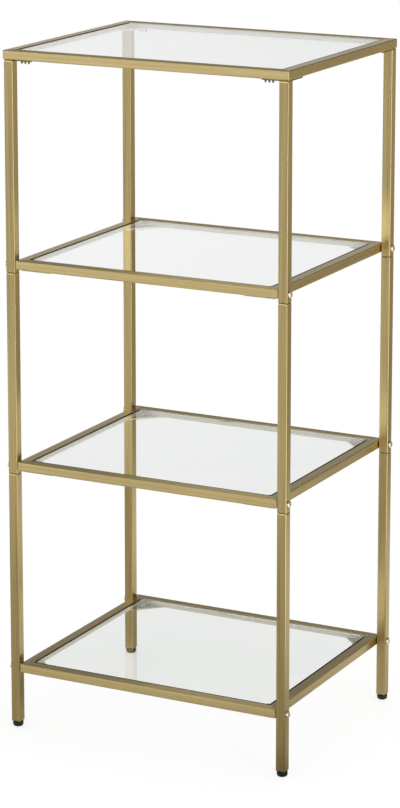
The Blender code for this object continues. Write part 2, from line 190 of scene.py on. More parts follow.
# Other finishes: clouds of two colours, and where there is one a finer grain with its relief
FINISHES = {
    "gold_plate": {
        "colours": ((0.47, 0.42, 0.30), (0.59, 0.53, 0.40)),
        "roughness": (0.34, 0.44),
        "clouds": 300,
        "grain": 2500,
        "relief": 0.1,
        "inputs": {"Metallic": 1.0},
    },
    # painted shade: a dark copy of the gold for the teeth and the top gussets' outer edges, which
    # sit in the shade under the rails
    "gold_teeth_painted_shade": {
        "colours": ((0.16, 0.125, 0.06), (0.24, 0.19, 0.10)),
        "roughness": (0.34, 0.44),
        "clouds": 300,
        "grain": 2500,
        "relief": 0.1,
        "inputs": {"Metallic": 1.0},
    },
    "gold_rail_inner_painted_light": {  # painted light: a pale, less metallic copy of the gold, standing in for the bright floor that the inner faces reflect through the glass
        "colours": ((0.76, 0.69, 0.53), (0.84, 0.77, 0.61)),
        "roughness": (0.4, 0.5),
        "clouds": 200,
        "grain": 2500,
        "relief": 0.1,
        "inputs": {"Metallic": 0.3},
    },
    "bolt_gold": {
        "colours": ((0.92, 0.83, 0.62), (0.97, 0.90, 0.74)),
        "roughness": (0.18, 0.26),
        "clouds": 500,
        "inputs": {"Metallic": 1.0},
    },
    "shelf_glass": {
        "colours": ((0.957, 0.971, 0.96), (0.974, 0.979, 0.972)),
        "roughness": (0.0, 0.012),
        "clouds": 9,
        "inputs": {"IOR": 1.5, "Transmission Weight": 1.0},
    },
    "pad_silicone": {
        "colours": ((0.90, 0.91, 0.87), (0.96, 0.96, 0.93)),
        "roughness": (0.08, 0.18),
        "clouds": 350,
        "inputs": {"IOR": 1.41, "Transmission Weight": 1.0},
    },
    "foot_plastic": {
        "colours": ((0.004, 0.004, 0.005), (0.010, 0.010, 0.011)),
        "roughness": (0.22, 0.34),
        "clouds": 400,
        "grain": 3000,
        "detail": FINE_DETAIL,
        "relief": 0.15,
        "inputs": {},
    },
    "stud_zinc": {
        "colours": ((0.52, 0.53, 0.55), (0.68, 0.69, 0.70)),
        "roughness": (0.24, 0.38),
        "clouds": 600,
        "inputs": {"Metallic": 1.0},
    },
}
GLASS_SHADOW = (0.93, 0.96, 0.945, 1.0)
GLASS_DEPTH = (0.62, 0.82, 0.70, 1.0)
GLASS_DENSITY = 6.0
EDGE_GRAIN = 1500
# painted shade: the glass edge seen from outside is near black, for the shade in the narrow gap
# between the pane and the rail
EDGE_OUTSIDE_PAINTED_SHADE = ((0.004, 0.007, 0.005), (0.010, 0.015, 0.012))
EDGE_WITHIN = ((0.90, 0.93, 0.91), (0.96, 0.98, 0.97))
EDGE_ROUGHNESS = (0.25, 0.4)
EDGE_ROUGHNESS_WITHIN = 0.02
EDGE_SPECULAR = 0.15

# Camera
CAMERA_YAW = math.radians(27.25)  # turned to the right of the rack's front
CAMERA_PITCH = math.radians(10.89)  # looks down by this much
CAMERA_DISTANCE = 3.8
CAMERA_HEIGHT = 1.426
CAMERA_SIDE = -0.0033
CAMERA_LENS = 133.16
CAMERA_SENSOR = 36
CAMERA_SHIFT = (0.0, -0.25)

# Lamp
KEY_PLACE = (2.4, -1.3, 1.2)
KEY_TARGET = (0, 0, 0.5)
KEY_SIZE = (1.0, 1.8)
KEY_RADIANCE = 2.2

# Studio, as metal sees it. The rack's front faces reflect one way and the posts' edges another.
WHITE = (1.0, 1.0, 1.0, 1.0)
UP = (0, 0, 1)
FRONT_REFLECTION = (-math.sin(CAMERA_YAW), -math.cos(CAMERA_YAW), 0)
EDGE_REFLECTION = (math.cos(CAMERA_YAW), -math.sin(CAMERA_YAW), 0)
AMBIENT = 0.7

# Sky levels by the height of a ray, and by how far it turns to the front
SKY_HEIGHTS = (0.0, 1.0)
SKY_TURNS = (-1.0, 1.0)
SKY_BEHIND = ((0.205, 0.80), (0.335, 0.20), (0.5, 0.12), (0.75, 0.25), (1.0, 0.35))
SKY_IN_FRONT = (
    (0.0, 0.95),
    (0.04, 1.9),
    (0.1, 2.9),
    (0.17, 2.75),
    (0.25, 1.0),
    (0.36, 0.6),
    (0.55, 0.6),
    (0.8, 0.3),
    (1.0, 0.38),
)
SKY_BY_TURN = ((-1.0, 0.35), (-0.75, 0.7), (-0.55, 1.0))
FRONT_GLOW = (0.75, 0.95)  # turns between which the sky in front takes over

# Floor as metal sees it, painted light and shade: its tones by the distance to the front, dimmed by
# turn, with a bright strip at the side
FLOOR_RADIUS = 12
FLOOR_DEPTH = 0.01
FLOOR_SIDES = 64
FLOOR_PAINT = (0.35, 0.35, 0.35, 1.0)
FLOOR_GLOW = 0.76
FLOOR_FADE = (0.8, 2.2)  # distances between which it turns plain white
FLOOR_REACH = (-5.0, 5.0)
FLOOR_BY_FRONT = (
    (-5.0, (0.56, 0.51, 0.42)),
    (-4.0, (0.44, 0.395, 0.32)),
    (-1.42, (0.39, 0.35, 0.285)),
    (-0.97, (0.80, 0.80, 0.80)),
    (-0.6, (0.88, 0.88, 0.88)),
    (-0.33, (0.67, 0.67, 0.67)),
    (-0.13, (0.50, 0.48, 0.44)),
    (-0.05, (0.64, 0.62, 0.58)),
    (0.04, (0.28, 0.265, 0.24)),
    (0.1, (0.28, 0.265, 0.24)),
    (0.16, (0.44, 0.42, 0.38)),
    (0.97, (0.48, 0.46, 0.41)),
    (1.42, (0.78, 0.78, 0.78)),
    (2.2, (0.78, 0.78, 0.78)),
    (4.0, (0.53, 0.53, 0.53)),
)
FLOOR_TURNS = (0.0, 2.0)
FLOOR_TURN_EASE = 0.8
FLOOR_BY_TURN = ((0.15, 1.0), (0.5, 0.55), (0.9, 0.65), (1.3, 1.0))
STRIP_LEVEL = (2.2, 2.2, 2.2)
STRIP_FLARE = 0.2
STRIP_ACROSS = (0.5, 0.15)
STRIP_ALONG = (0.4, 1.1)

CORNERS = {
    "front_left": (-1, -1),
    "front_right": (1, -1),
    "back_left": (-1, 1),
    "back_right": (1, 1),
}
SHELVES = ("lower", "middle", "upper")
LEVELS = (*SHELVES, "top")
SECTIONS = {"base": "lower", "mid": "middle", "top": "upper"}  # and the shelf bolted to each


# Shapes


def circle(radius, z, sides):
    turn = 2 * math.pi / sides
    return [(radius * math.cos(turn * i), radius * math.sin(turn * i), z) for i in range(sides)]


def hexagon(across_flats, z, sides):
    """A hexagon drawn with as many points as a circle, so that the two can be bridged."""
    points = []
    for i in range(sides):
        angle = 2 * math.pi * i / sides
        from_flat = angle % (math.pi / 3) - math.pi / 6
        radius = across_flats / 2 / math.cos(from_flat)
        points.append((radius * math.cos(angle), radius * math.sin(angle), z))
    return points


def rounded_rectangle(half_x, half_y, radius, z, steps=CORNER_STEPS):
    points = []
    for corner, (sx, sy) in enumerate(((1, 1), (-1, 1), (-1, -1), (1, -1))):
        for step in range(steps + 1):
            angle = (corner + step / steps) * math.pi / 2
            x = sx * (half_x - radius) + radius * math.cos(angle)
            y = sy * (half_y - radius) + radius * math.sin(angle)
            points.append((x, y, z))
    return points


def square(side, radius, z, steps=CORNER_STEPS):
    return rounded_rectangle(side / 2, side / 2, radius, z, steps)


def rectangle(half_x, half_y, z):
    return [(half_x, half_y, z), (-half_x, half_y, z), (-half_x, -half_y, z), (half_x, -half_y, z)]


def arc(steps):
    """Pairs of sine and cosine over a quarter turn."""
    angles = [math.pi / 2 * step / steps for step in range(steps + 1)]
    return [(math.sin(angle), math.cos(angle)) for angle in angles]


def middle_of(lo, hi):
    return [(low + high) / 2 for low, high in zip(lo, hi)]


def skin(rings, closed=False):
    """Bridges rings of points in turn. A closed stack runs back to its first ring; an open one gets
    a cap at each end."""
    shape = bmesh.new()
    loops = [[shape.verts.new(point) for point in ring] for ring in rings]
    pairs = list(zip(loops, loops[1:]))
    if closed:
        pairs.append((loops[-1], loops[0]))
    else:
        shape.faces.new(loops[0])
        shape.faces.new(loops[-1])
    for first, second in pairs:
        count = len(first)
        for i in range(count):
            after = (i + 1) % count
            shape.faces.new((first[i], first[after], second[after], second[i]))
    bmesh.ops.recalc_face_normals(shape, faces=shape.faces)
    return shape


def lathe(profile, sides):
    """A turned shape about Z, from pairs of radius and height."""
    return skin([circle(radius, z, sides) for radius, z in profile])


def moved(shape, place):
    bmesh.ops.translate(shape, vec=place, verts=shape.verts)
    return shape


def rod_along_x(radius, start, end, y, z):
    shape = lathe([(radius, start), (radius, end)], HOLE_SIDES)
    bmesh.ops.transform(shape, matrix=Matrix.Rotation(math.pi / 2, 4, "Y"), verts=shape.verts)
    return moved(shape, (0, y, z))


def joined(shapes):
    whole = bmesh.new()
    for shape in shapes:
        mesh = bpy.data.meshes.new("shape")
        shape.to_mesh(mesh)
        shape.free()
        whole.from_mesh(mesh)
        bpy.data.meshes.remove(mesh)
    return whole


def plain_object(name, shape):
    mesh = bpy.data.meshes.new(name)
    shape.to_mesh(mesh)
    shape.free()
    item = bpy.data.objects.new(name, mesh)
    bpy.context.scene.collection.objects.link(item)
    return item


def cut(shape, cutter):
    """The shape with the cutter taken away."""
    item = plain_object("cut", shape)
    tool = plain_object("tool", cutter)
    modifier = item.modifiers.new("cut", "BOOLEAN")
    modifier.operation = "DIFFERENCE"
    modifier.solver = "EXACT"
    modifier.object = tool
    bpy.context.view_layer.update()
    view = bpy.context.evaluated_depsgraph_get()
    mesh = bpy.data.meshes.new_from_object(item.evaluated_get(view))
    result = bmesh.new()
    result.from_mesh(mesh)
    spent = (item.data, tool.data, mesh)
    bpy.data.objects.remove(item)
    bpy.data.objects.remove(tool)
    for old in spent:
        bpy.data.meshes.remove(old)
    return result


def piece(node, shape, slot, *materials):
    """A finished piece that stands for one CAD node and moves with its body."""
    item = plain_object(f"{node}_look", shape)
    for material in materials:
        item.data.materials.append(material)
    item.data.shade_smooth()
    item.data.set_sharp_from_angle(angle=SMOOTH_ANGLE)
    flats = item.modifiers.new("keep flats flat", "WEIGHTED_NORMAL")
    flats.keep_sharp = True
    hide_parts(node)
    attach(item, frame["nodes"][node]["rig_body"])


# Nodes that materials and the studio share


def add_node(tree, kind, inputs, **settings):
    """A new node. Its inputs are set, or linked where the value is another node's socket."""
    made = tree.nodes.new(kind)
    for key, value in settings.items():
        setattr(made, key, value)
    set_inputs(tree, made, inputs)
    return made


def set_inputs(tree, made, inputs):
    for key, value in inputs.items():
        if isinstance(value, bpy.types.NodeSocket):
            tree.links.new(value, made.inputs[key])
        else:
            made.inputs[key].default_value = value


def mix(tree, kind, factor, first, second):
    """Between two numbers, vectors or colours."""
    before, after, result = MIX_SOCKETS[kind]
    inputs = {"Factor": factor, before: first, after: second}
    return add_node(tree, "ShaderNodeMix", inputs, data_type=kind).outputs[result]


def mix_shaders(tree, factor, first, second):
    inputs = {0: factor, 1: first, 2: second}
    return add_node(tree, "ShaderNodeMixShader", inputs).outputs["Shader"]


def share_between(tree, value, start, end, **settings):
    """0 where the value is at the start or before it, and 1 at the end or past it."""
    inputs = {"Value": value, "From Min": start, "From Max": end}
    return add_node(tree, "ShaderNodeMapRange", inputs, **settings).outputs["Result"]


def math_node(tree, operation, first, second):
    inputs = {0: first, 1: second}
    return add_node(tree, "ShaderNodeMath", inputs, operation=operation).outputs["Value"]


def dot(tree, vector, direction):
    inputs = {0: vector, 1: direction}
    return add_node(tree, "ShaderNodeVectorMath", inputs, operation="DOT_PRODUCT").outputs["Value"]


# Materials


def start_material(name):
    material = bpy.data.materials.new(name)
    material.use_nodes = True
    tree = material.node_tree
    return material, tree, tree.nodes["Principled BSDF"]


def noise(tree, scale, detail=NOISE_DETAIL):
    """Noise in the rack's own coordinates; scale is features to the metre along each axis."""
    place = tree.nodes.new("ShaderNodeTexCoord").outputs["Object"]
    mapped = add_node(tree, "ShaderNodeMapping", {"Vector": place, "Scale": scale})
    inputs = {
        "Vector": mapped.outputs["Vector"],
        "Scale": 1.0,
        "Detail": detail,
        "Roughness": NOISE_ROUGHNESS,
    }
    return add_node(tree, "ShaderNodeTexNoise", inputs).outputs["Fac"]


def spread(tree, value, low=0.0, high=1.0):
    """Maps the middle of a noise's range to low and high."""
    start, end = NOISE_MIDDLE
    inputs = {"Value": value, "From Min": start, "From Max": end, "To Min": low, "To Max": high}
    return add_node(tree, "ShaderNodeMapRange", inputs).outputs["Result"]


def blend(tree, factor, colours):
    first, second = colours
    return mix(tree, "RGBA", factor, (*first, 1.0), (*second, 1.0))


def bump(tree, height, strength):
    inputs = {"Height": height, "Distance": RELIEF_DEPTH, "Strength": strength}
    return add_node(tree, "ShaderNodeBump", inputs).outputs["Normal"]


def stretched(axis, along, across):
    scale = [across] * 3
    scale[axis] = along
    return scale


def brushed(name):
    """Satin gold with brush lines along one axis."""
    axis, colours, roughness, anisotropy = BRUSHED[name]
    material, tree, shader = start_material(name)
    lines = noise(tree, stretched(axis, **BRUSH_LINES))
    hairlines = noise(tree, stretched(axis, **HAIRLINES), FINE_DETAIL)
    normal = tree.nodes.new("ShaderNodeNewGeometry").outputs["True Normal"]
    directions = {0: normal, 1: stretched(axis, 1.0, 0.0)}
    across = add_node(tree, "ShaderNodeVectorMath", directions, operation="CROSS_PRODUCT")
    inputs = {
        "Base Color": blend(tree, spread(tree, lines), colours),
        "Metallic": 1.0,
        "Roughness": spread(tree, lines, *roughness),
        "Anisotropic": anisotropy,
        "Tangent": across.outputs["Vector"],
        "Normal": bump(tree, hairlines, HAIRLINE_RELIEF),
    }
    set_inputs(tree, shader, inputs)
    return material


def mottled(name):
    """A material from the table of finishes."""
    finish = FINISHES[name]
    material, tree, shader = start_material(name)
    clouds = noise(tree, [finish["clouds"]] * 3)
    colour = blend(tree, spread(tree, clouds), finish["colours"])
    inputs = {"Base Color": colour, **finish["inputs"]}
    grain = clouds
    if "grain" in finish:
        grain = noise(tree, [finish["grain"]] * 3, finish.get("detail", NOISE_DETAIL))
        inputs["Normal"] = bump(tree, grain, finish["relief"])
    inputs["Roughness"] = spread(tree, grain, *finish["roughness"])
    set_inputs(tree, shader, inputs)
    return material


def clear_glass():
    """Glass with a faint green depth, a trace of haze, and shadows that stay light."""
    material = mottled("shelf_glass")
    tree = material.node_tree
    in_shadow = tree.nodes.new("ShaderNodeLightPath").outputs["Is Shadow Ray"]
    solid = tree.nodes["Principled BSDF"].outputs["BSDF"]
    clear = add_node(tree, "ShaderNodeBsdfTransparent", {"Color": GLASS_SHADOW}).outputs["BSDF"]
    tint = {"Color": GLASS_DEPTH, "Density": GLASS_DENSITY}
    depth = add_node(tree, "ShaderNodeVolumeAbsorption", tint)
    inputs = {
        "Surface": mix_shaders(tree, in_shadow, solid, clear),
        "Volume": depth.outputs["Volume"],
    }
    set_inputs(tree, tree.nodes["Material Output"], inputs)
    return material


def glass_edge():
    """The ground edge of the glass: dark green to near black from outside, which is painted shade
    for the narrow gap between the pane and the rail, and from within the pane a mirror, as light
    there meets it too flatly to leave."""
    material, tree, shader = start_material("shelf_glass_edge_painted_shade")
    grain = noise(tree, [EDGE_GRAIN] * 3)
    share = spread(tree, grain)
    within = tree.nodes.new("ShaderNodeNewGeometry").outputs["Backfacing"]
    # the painted shade of the gap, seen from outside
    ground = blend(tree, share, EDGE_OUTSIDE_PAINTED_SHADE)
    mirror = blend(tree, share, EDGE_WITHIN)
    rough = spread(tree, grain, *EDGE_ROUGHNESS)
    inputs = {
        "Base Color": mix(tree, "RGBA", within, ground, mirror),
        "Metallic": within,
        "Roughness": mix(tree, "FLOAT", within, rough, EDGE_ROUGHNESS_WITHIN),
        "Specular IOR Level": EDGE_SPECULAR,
    }
    set_inputs(tree, shader, inputs)
    return material


# Frames


def frame_node(level):
    return "top_frame" if level == "top" else f"{level}_shelf_frame"


def rail_ring(half_x, half_y, low, high):
    """A square ring of tube with rounded edges. Where they show through the glass, its inner faces
    get a pale copy of the gold: painted light for the bright floor that they reflect."""
    inner_x = half_x - RAIL_WIDTH
    inner_y = half_y - RAIL_WIDTH
    rings = [
        rectangle(half_x, half_y, low),
        rectangle(half_x, half_y, high),
        rectangle(inner_x, inner_y, high),
        rectangle(inner_x, inner_y, high - RAIL_LIP),
        rectangle(inner_x, inner_y, low),
    ]
    shape = skin(rings, closed=True)
    for face in shape.faces:
        middle = face.calc_center_median()
        along_y = half_x - abs(middle.x) < half_y - abs(middle.y)
        face.material_index = RAIL_Y if along_y else RAIL_X
        # the inner faces below the lip get the pale gold: painted light
        inside = max(abs(middle.x) - inner_x, abs(middle.y) - inner_y) < RAIL_WIDTH / 4
        if inside and (not along_y or middle.z < high - RAIL_LIP):
            face.material_index = RAIL_INNER_PAINTED_LIGHT
    outer, inner = [], []
    for edge in shape.edges:
        if edge.calc_face_angle_signed() > SMOOTH_ANGLE:
            inside = all(abs(vert.co.x) < half_x - RAIL_WIDTH / 2 for vert in edge.verts)
            (inner if inside else outer).append(edge)
    for edges, radius in ((inner, RAIL_INNER_RADIUS), (outer, TUBE_RADIUS)):
        bmesh.ops.bevel(
            shape,
            geom=edges,
            offset=radius,
            segments=EDGE_SEGMENTS,
            profile=ROUND_PROFILE,
            affect="EDGES",
            clamp_overlap=False,
        )
    return shape


def gusset(level, corner, half_x, half_y, low):
    """A corner plate under the rails, with the hole that holds its pad. Its outline is in distances
    from the frame's outer faces."""
    near = GUSSET_SETBACK
    whole = 2 * RAIL_WIDTH + GUSSET_REACH[level]
    far = whole - near
    outline = [(near, near), (far, near), (near, far)]
    if level == "top":
        notch = GUSSET_NOTCH
        side = GUSSET_SIDE
        outline = [(notch, near), (far, near), (side, whole - side), (side, notch), (notch, notch)]
    sx, sy = CORNERS[corner]
    flat = [(sx * (half_x - u), sy * (half_y - v)) for u, v in outline]
    bottom = low - GUSSET_THICKNESS
    top = low + GUSSET_LAP
    plate = skin([[(x, y, bottom) for x, y in flat], [(x, y, top) for x, y in flat]])
    bmesh.ops.bevel(
        plate,
        geom=plate.edges[:],
        offset=GUSSET_EDGE,
        segments=GUSSET_SEGMENTS,
        profile=ROUND_PROFILE,
        affect="EDGES",
    )
    x = sx * (half_x - RAIL_WIDTH - PAD_INSET)
    y = sy * (half_y - RAIL_WIDTH - PAD_INSET)
    reach = 2 * GUSSET_THICKNESS
    hole = lathe([(PAD_HOLE, -reach), (PAD_HOLE, reach)], HOLE_SIDES)
    return cut(plate, moved(hole, (x, y, low)))


def gusset_teeth(corner, half_x, half_y, low):
    sx, sy = CORNERS[corner]
    first = 2 * RAIL_WIDTH + GUSSET_REACH["top"] - GUSSET_SETBACK - TOOTH_END
    root = low - GUSSET_THICKNESS + GUSSET_LAP
    tip = low - GUSSET_THICKNESS - TOOTH_HEIGHT
    y = sy * (half_y - GUSSET_SETBACK - TOOTH_INSET - TOOTH_DEPTH / 2)
    teeth = []
    for i in range(TOOTH_COUNT):
        rings = [
            rectangle(TOOTH_WIDTH / 2, TOOTH_DEPTH / 2, root),
            rectangle(TOOTH_TIP / 2, TOOTH_DEPTH / 2, tip),
        ]
        x = sx * (half_x - first + i * TOOTH_PITCH)
        teeth.append(moved(skin(rings), (x, y, 0)))
    return teeth


def stub(corner, low):
    """Plugs into the top of a post."""
    lo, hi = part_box(f"post_{corner}_top")
    x, y, _ = middle_of(lo, hi)
    bottom = low - STUB_LENGTH
    stack = (
        (STUB_SIDE - 2 * TIP_CHAMFER, bottom),
        (STUB_SIDE, bottom + TIP_CHAMFER),
        (STUB_SIDE, low + GUSSET_LAP),
    )
    rings = [square(side, STUB_CORNER, z, STUB_CORNER_STEPS) for side, z in stack]
    return moved(skin(rings), (x, y, 0))


def bolt_holes(half_x, height):
    rods = []
    for corner, (sx, _) in CORNERS.items():
        lo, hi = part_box(f"bolt_lower_{corner}")
        y = middle_of(lo, hi)[Y_AXIS]
        inner = sx * (half_x - BOLT_GRIP)
        outer = sx * (half_x + RAIL_WIDTH)
        rods.append(rod_along_x(BOLT_HOLE, inner, outer, y, height))
    return joined(rods)


def paint_plate(shape, level, half_x, half_y):
    """The outer edges of the top gussets get painted shade, as their teeth do: a dark copy of the
    gold for the shade under the rails.
    """
    for face in shape.faces:
        middle = face.calc_center_median()
        at_side = abs(middle.x) > half_x - GUSSET_SIDE - GUSSET_EDGE
        at_front = abs(middle.y) > half_y - GUSSET_SETBACK - GUSSET_EDGE
        face.material_index = PLATE_PAINTED_SHADE if level == "top" and (at_side or at_front) else PLATE


def make_frame(level, materials):
    node = frame_node(level)
    _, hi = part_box(node)
    low = hi.z - RAIL_HEIGHT
    ring = rail_ring(hi.x, hi.y, low, hi.z)
    plates = [gusset(level, corner, hi.x, hi.y, low) for corner in CORNERS]
    teeth = []
    if level == "top":
        for corner in CORNERS:
            plates.append(stub(corner, low))
            teeth += gusset_teeth(corner, hi.x, hi.y, low)
    else:
        ring = cut(ring, bolt_holes(hi.x, low + RAIL_HEIGHT / 2))
    for plate in plates:
        paint_plate(plate, level, hi.x, hi.y)
    # the teeth get the painted shade too
    for tooth in teeth:
        for face in tooth.faces:
            face.material_index = PLATE_PAINTED_SHADE
    piece(node, joined([ring, *plates, *teeth]), "satin_gold", *materials)


# Posts


def post_shape(node, necked):
    """A post section, with a neck that plugs into the section below or a bore for a foot."""
    lo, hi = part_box(node)
    x, y, _ = middle_of(lo, hi)
    bottom = lo.z + (NECK_LENGTH if necked else 0)
    top = hi.z

    def ring(inset, z):
        return square(POST_SIDE - 2 * inset, TUBE_RADIUS - inset, z)

    if necked:
        inset, height = TAIL_INSET, TAIL_HEIGHT
        rings = [
            square(NECK_SIDE - 2 * TIP_CHAMFER, BORE_RADIUS, lo.z),
            square(NECK_SIDE, BORE_RADIUS, lo.z + TIP_CHAMFER),
            square(NECK_SIDE, BORE_RADIUS, bottom),
        ]
    else:
        inset, height = FOOT_END_INSET, FOOT_END_HEIGHT
        rings = [
            square(NECK_SIDE, BORE_RADIUS, bottom + BORE_DEPTH),
            square(NECK_SIDE, BORE_RADIUS, bottom),
        ]
    ease = arc(EDGE_SEGMENTS)
    for sine, cosine in ease:
        rings.append(ring(inset * (1 - sine), bottom + height * (1 - cosine)))
    for sine, cosine in reversed(ease):
        rings.append(ring(HEAD_INSET * (1 - sine), top - HEAD_HEIGHT * (1 - cosine)))
    rings += [
        square(BORE_SIDE, BORE_RADIUS, top),
        square(BORE_SIDE, BORE_RADIUS, top - BORE_DEPTH),
    ]
    return moved(skin(rings), (x, y, 0))


def make_posts(gold):
    for corner in CORNERS:
        for section, level in SECTIONS.items():
            node = f"post_{corner}_{section}"
            lo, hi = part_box(f"bolt_{level}_{corner}")
            _, y, z = middle_of(lo, hi)
            post_lo, post_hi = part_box(node)
            start = post_lo.x - CUT_OVERSHOOT
            end = post_hi.x + CUT_OVERSHOOT
            hole = rod_along_x(BOLT_HOLE, start, end, y, z)
            piece(node, cut(post_shape(node, section != "base"), hole), "satin_gold", gold)


# Bolts, pads and feet


def bolt_shape(length):
    """A domed head with a hexagonal socket, pointing along +Z from the underside of the head."""
    crown = BOLT_HEAD * BOLT_CROWN
    dome = BOLT_HEAD_HEIGHT - BOLT_RIM
    tip = BOLT_HEAD_HEIGHT - length
    profile = [
        (BOLT_SHANK - TIP_CHAMFER, tip),
        (BOLT_SHANK, tip + TIP_CHAMFER),
        (BOLT_SHANK, 0),
        (BOLT_HEAD, 0),
    ]
    for sine, cosine in arc(DOME_STEPS):
        profile.append((crown + (BOLT_HEAD - crown) * cosine, BOLT_RIM + dome * sine))
    socket = [
        (BOLT_SOCKET + BOLT_SOCKET_CHAMFER, BOLT_HEAD_HEIGHT),
        (BOLT_SOCKET, BOLT_HEAD_HEIGHT - BOLT_SOCKET_CHAMFER),
        (BOLT_SOCKET, BOLT_HEAD_HEIGHT - BOLT_SOCKET_DEPTH),
    ]
    rings = [circle(radius, z, BOLT_SIDES) for radius, z in profile]
    rings += [hexagon(across_flats, z, BOLT_SIDES) for across_flats, z in socket]
    return skin(rings)


def make_bolts(gold):
    for level in SHELVES:
        for corner, (sx, _) in CORNERS.items():
            node = f"bolt_{level}_{corner}"
            lo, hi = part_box(node)
            _, y, z = middle_of(lo, hi)
            shape = bolt_shape(hi.x - lo.x)
            turn = Matrix.Rotation(sx * math.pi / 2, 3, "Y")
            bmesh.ops.rotate(shape, matrix=turn, verts=shape.verts)
            outer = max(abs(lo.x), abs(hi.x)) - BOLT_HEAD_HEIGHT
            piece(node, moved(shape, (sx * outer, y, z)), "bright_gold", gold)


def pad_shape(radius, plate, low, high):
    """A waisted pad on the plate, with a stem through the plate's hole and a knob under it."""
    base = plate + (GUSSET_LAP + TOUCH)
    below = plate - GUSSET_THICKNESS - TOUCH
    height = high - base
    profile = [
        (PAD_KNOB - TIP_CHAMFER, low),
        (PAD_KNOB - TIP_CHAMFER / 3, low + TIP_CHAMFER),
        (PAD_KNOB, below),
        (PAD_STEM, below),
        (PAD_STEM, base),
        (radius - PAD_EDGE, base),
        (radius, base + PAD_EDGE),
        (PAD_WAIST + PAD_EDGE, base + height * PAD_WAIST_START),
        (PAD_WAIST, base + height / 2),
        (PAD_WAIST + PAD_EDGE, base + height * PAD_WAIST_END),
        (radius, high - PAD_EDGE),
        (radius - PAD_EDGE, high),
    ]
    return lathe(profile, PAD_SIDES)


def make_pads(silicone):
    for level in LEVELS:
        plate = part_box(frame_node(level))[1].z - RAIL_HEIGHT
        for corner in CORNERS:
            node = f"pad_{level}_{corner}"
            lo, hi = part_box(node)
            x, y, _ = middle_of(lo, hi)
            shape = pad_shape((hi.x - lo.x) / 2, plate, lo.z, hi.z)
            piece(node, moved(shape, (x, y, 0)), "clear_silicone", silicone)


def glide_shape(radius, low, high):
    profile = []
    for sine, cosine in arc(GLIDE_EDGE_STEPS):
        profile.append((radius - GLIDE_EDGE * (1 - sine), low + GLIDE_EDGE * (1 - cosine)))
    for sine, cosine in arc(GLIDE_RIM_STEPS):
        profile.append((radius - GLIDE_RIM * (1 - cosine), high - GLIDE_RIM * (1 - sine)))
    profile += [(STUD_SOCKET, high), (STUD_SOCKET, high - STUD_SEAT)]
    return lathe(profile, GLIDE_SIDES)


def stud_shape(radius, low, high):
    """A right-hand screw thread."""
    rows = round((high - low) / THREAD_PITCH * THREAD_ROWS)
    rings = []
    for row in range(rows + 1):
        z = low + (high - low) * row / rows
        ring = []
        for i in range(THREAD_SIDES):
            share = i / THREAD_SIDES
            phase = (z / THREAD_PITCH - share) % 1.0
            reach = radius - THREAD_DEPTH * (1 - abs(2 * phase - 1))
            angle = 2 * math.pi * share
            ring.append((reach * math.cos(angle), reach * math.sin(angle), z))
        rings.append(ring)
    return skin(rings)


def make_feet(black, zinc):
    """Glides and studs. The inserts, sealed in the posts, keep the CAD's shape."""
    for corner in CORNERS:
        for kind, make_shape, slot, material in (
            ("glide", glide_shape, "black_plastic", black),
            ("stud", stud_shape, "zinc_steel", zinc),
        ):
            node = f"foot_{kind}_{corner}"
            lo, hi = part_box(node)
            x, y, _ = middle_of(lo, hi)
            shape = make_shape((hi.x - lo.x) / 2, lo.z, hi.z)
            piece(node, moved(shape, (x, y, 0)), slot, material)
        insert = frame["nodes"][f"foot_insert_{corner}"]
        insert.data.materials[0] = black


# Panes


def make_glass(level, glass, edge):
    node = f"{level}_glass"
    lo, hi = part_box(node)

    def ring(inset, z):
        return rounded_rectangle(hi.x - inset, hi.y - inset, GLASS_CORNER - inset, z)

    ease = []
    for sine, cosine in arc(ARRIS_STEPS):
        ease.append((GLASS_ARRIS * (1 - sine), GLASS_ARRIS * (1 - cosine)))
    rings = [ring(inset, lo.z + rise) for inset, rise in ease]
    rings += [ring(inset, hi.z - rise) for inset, rise in reversed(ease)]
    shape = skin(rings)
    for face in shape.faces:
        if abs(face.normal.z) < math.sin(SMOOTH_ANGLE):
            face.material_index = PANE_EDGE
    piece(node, shape, "clear_glass", glass, edge)


# Studio


def ramp(tree, value, span, stops):
    """Reads a level or a colour off a table of stops within a span."""
    low, high = span
    share = share_between(tree, value, low, high)
    table = add_node(tree, "ShaderNodeValToRGB", {"Fac": share})
    elements = table.color_ramp.elements
    while len(elements) < len(stops):
        elements.new(0.5)  # moved to its stop below
    for element, (place, level) in zip(elements, stops):
        element.position = (place - low) / (high - low)
        element.color = (*level, 1.0) if isinstance(level, tuple) else (level, level, level, 1.0)
    return table.outputs["Color"]


def reflected_only(tree):
    """1 for rays that bounced off metal or glass, 0 for those that came through glass."""
    path = tree.nodes.new("ShaderNodeLightPath").outputs
    bounced = math_node(tree, "SUBTRACT", path["Is Glossy Ray"], path["Is Transmission Ray"])
    return math_node(tree, "MAXIMUM", bounced, 0.0)


def make_world():
    """White to the camera. Metal and glass see a bright band along the horizon under a dim ceiling,
    weakest straight behind the rack, and a narrow and brighter glow low in front."""
    world = bpy.data.worlds.new("studio")
    bpy.context.scene.world = world
    world.use_nodes = True
    tree = world.node_tree
    path = tree.nodes.new("ShaderNodeLightPath").outputs
    ray = tree.nodes.new("ShaderNodeTexCoord").outputs["Generated"]
    height = dot(tree, ray, UP)
    turn = dot(tree, ray, FRONT_REFLECTION)
    band = ramp(tree, height, SKY_HEIGHTS, SKY_BEHIND)
    behind = math_node(tree, "MULTIPLY", band, ramp(tree, turn, SKY_TURNS, SKY_BY_TURN))
    in_front = ramp(tree, height, SKY_HEIGHTS, SKY_IN_FRONT)
    ahead = share_between(tree, turn, *FRONT_GLOW, interpolation_type="SMOOTHSTEP")
    sky = mix(tree, "FLOAT", ahead, behind, in_front)
    soft = mix(tree, "FLOAT", path["Is Glossy Ray"], AMBIENT, sky)
    seen = math_node(tree, "MAXIMUM", path["Is Camera Ray"], path["Is Transmission Ray"])
    strength = mix(tree, "FLOAT", seen, soft, 1.0)
    set_inputs(tree, tree.nodes["Background"], {"Color": WHITE, "Strength": strength})


